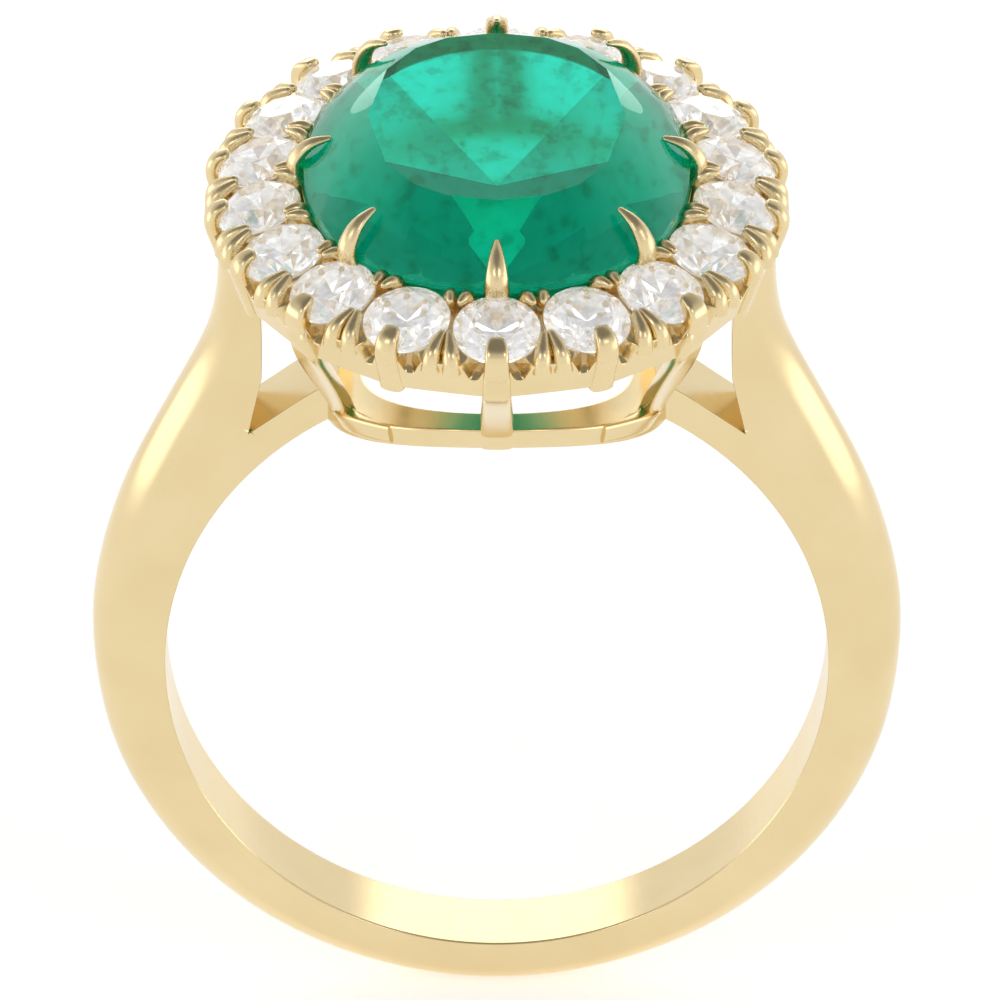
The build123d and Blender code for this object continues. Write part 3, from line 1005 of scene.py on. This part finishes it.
def make_floor():
    """Pale matt floor that glows a little, as a lit studio sweep does."""
    size = 0.15
    z = cad_box[0][2]
    mesh = bpy.data.meshes.new("floor")
    corners = [(-size, -size, z), (size, -size, z), (size, size, z), (-size, size, z)]
    mesh.from_pydata(corners, [], [(0, 1, 2, 3)])
    floor = bpy.data.objects.new("floor", mesh)
    bpy.context.scene.collection.objects.link(floor)
    material, nodes, links, shader = node_material("pale_floor")
    cloud = noise(nodes, links, 0.01)
    greys = [(0.3, (0.9, 0.9, 0.9)), (0.7, (0.92, 0.92, 0.92))]
    colour = ramp(nodes, links, cloud.outputs["Fac"], greys)
    links.new(colour, shader.inputs["Base Color"])
    shader.inputs["Roughness"].default_value = 0.8
    shader.inputs["Emission Color"].default_value = (1, 1, 1, 1)
    shader.inputs["Emission Strength"].default_value = 0.43
    mesh.materials.append(material)


def softbox(name, place, target, size, power, colour=(1, 1, 1)):
    light = bpy.data.lights.new(name, "AREA")
    light.shape = "ELLIPSE"
    light.size, light.size_y = size
    light.energy = power
    light.color = colour
    lamp = bpy.data.objects.new(name, light)
    bpy.context.scene.collection.objects.link(lamp)
    lamp.location = place
    lamp.rotation_euler = (Vector(target) - Vector(place)).to_track_quat("-Z", "Y").to_euler()


def make_world():
    """Studio surround: bright low down, brightest at both sides, greyer higher up and overhead."""
    world = bpy.data.worlds.new("studio")
    world.use_nodes = True
    nodes, links = world.node_tree.nodes, world.node_tree.links

    def ramp_of(value, start, end, low, high):
        node = nodes.new("ShaderNodeMapRange")
        node.interpolation_type = "SMOOTHSTEP"
        for name, setting in zip(("From Min", "From Max", "To Min", "To Max"), (start, end, low, high)):
            node.inputs[name].default_value = setting
        links.new(value, node.inputs["Value"])
        return node.outputs["Result"]

    def math_of(operation, first, second=None):
        node = nodes.new("ShaderNodeMath")
        node.operation = operation
        links.new(first, node.inputs[0])
        if second is not None:
            links.new(second, node.inputs[1])
        return node.outputs["Value"]

    place = nodes.new("ShaderNodeTexCoord")
    parts = nodes.new("ShaderNodeSeparateXYZ")
    links.new(place.outputs["Generated"], parts.inputs["Vector"])
    across, height = parts.outputs["X"], parts.outputs["Z"]
    rising = ramp_of(height, 0.25, 0.5, 0.95, 0.66)
    open_above = ramp_of(height, 0.6, 0.9, 1.0, 0.35)
    sides = ramp_of(math_of("ABSOLUTE", across), 0.8, 0.93, 0.0, 0.9)
    low_down = ramp_of(math_of("ABSOLUTE", height), 0.2, 0.4, 1.0, 0.0)
    total = math_of("MULTIPLY", rising, open_above)
    total = math_of("ADD", total, math_of("MULTIPLY", sides, low_down))
    nodes["Background"].inputs["Color"].default_value = (1, 1, 1, 1)
    links.new(total, nodes["Background"].inputs["Strength"])
    bpy.context.scene.world = world


def make_camera():
    """Distant camera 31 degrees above level, aimed at the middle of the ring's picture."""
    elevation = math.radians(31.25)
    distance = 0.4
    target = Vector((0.08, 1.90, 3.13)) * MM
    back = Vector((0, -math.cos(elevation), math.sin(elevation)))
    camera = bpy.data.cameras.new("camera")
    camera.sensor_width = 36
    camera.lens = 563.6
    camera.clip_start = 0.01
    camera.clip_end = 10
    holder = bpy.data.objects.new("camera", camera)
    holder.location = target + back * distance
    holder.rotation_euler = (-back).to_track_quat("-Z", "Y").to_euler()
    bpy.context.scene.collection.objects.link(holder)
    bpy.context.scene.camera = holder


def set_light_paths():
    cycles = bpy.context.scene.cycles
    cycles.max_bounces = 24
    cycles.transmission_bounces = 24
    cycles.glossy_bounces = 24
    cycles.diffuse_bounces = 4
    cycles.sample_clamp_indirect = 6
    cycles.use_denoising = True
    bpy.context.scene.view_settings.view_transform = "Standard"


make_band()
make_rail()
make_setting()
make_collar()
make_emerald()
make_diamonds()
for k in range(STONES):
    if k in POSTS:
        make_post(k)
    else:
        make_halo_claw(k)
for claw_name in EMERALD_CLAWS:
    make_emerald_claw(claw_name)
make_beads(
    "outer_beads",
    "outer_bead_claws",
    (1.17, 0.27, -0.3),
    (0.98, 0.23, 0.1),
    (0.48, 0.1, 0.26),
    (0.26, 0.22, 0.12),
)
make_beads(
    "inner_beads",
    "inner_bead_claws",
    (-1.12, 0.24, -0.15),
    (-0.95, 0.2, 0.13),
    (-0.66, 0.13, 0.24),
    (0.18, 0.17, 0.1),
)
make_floor()
make_world()
softbox("bore_glow", (0, 0.0514, 0.0225), (0, 0, -BORE * MM), (0.055, 0.02), 0.0036)
softbox("front_left", (-0.35, -0.45, 0.45), (0, 0, 0), (0.2, 0.2), 0.25)
softbox("front_right", (0.35, -0.45, 0.45), (0, 0, 0), (0.2, 0.2), 0.25)
make_camera()
set_light_paths()
